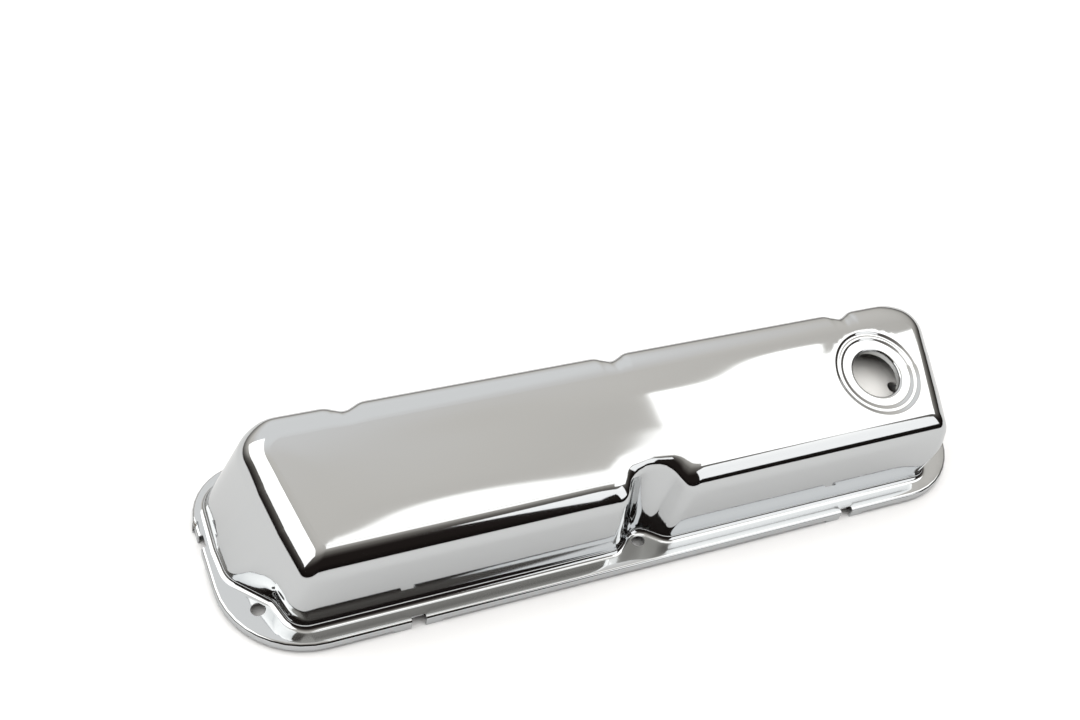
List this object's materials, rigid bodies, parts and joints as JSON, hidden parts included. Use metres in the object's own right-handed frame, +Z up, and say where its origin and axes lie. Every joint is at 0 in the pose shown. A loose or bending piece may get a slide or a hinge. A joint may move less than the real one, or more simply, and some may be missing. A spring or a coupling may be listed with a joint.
{
  "type": "engine valve cover",
  "caption": "Pressed steel engine valve cover with a gasket flange, a sloping top panel, bolt recesses, an oil filler hole and an inner oil baffle.",
  "frame": {"origin": "under the middle of the flange, on the surface that the ears of the lip stand on", "axes": "+X along the cover toward the oil filler hole, +Y toward the taller long wall, +Z up away from the gasket face"},
  "size_m": [0.4766, 0.1248, 0.0784],
  "materials": {
    "cover_chrome": "polished chrome plating outside, dull satin plating inside",
    "baffle_steel": "satin plated sheet"
  },
  "bodies": {
    "root": {"cover_shell": "cover_chrome", "oil_baffle": "baffle_steel"}
  },
  "joints": []
}
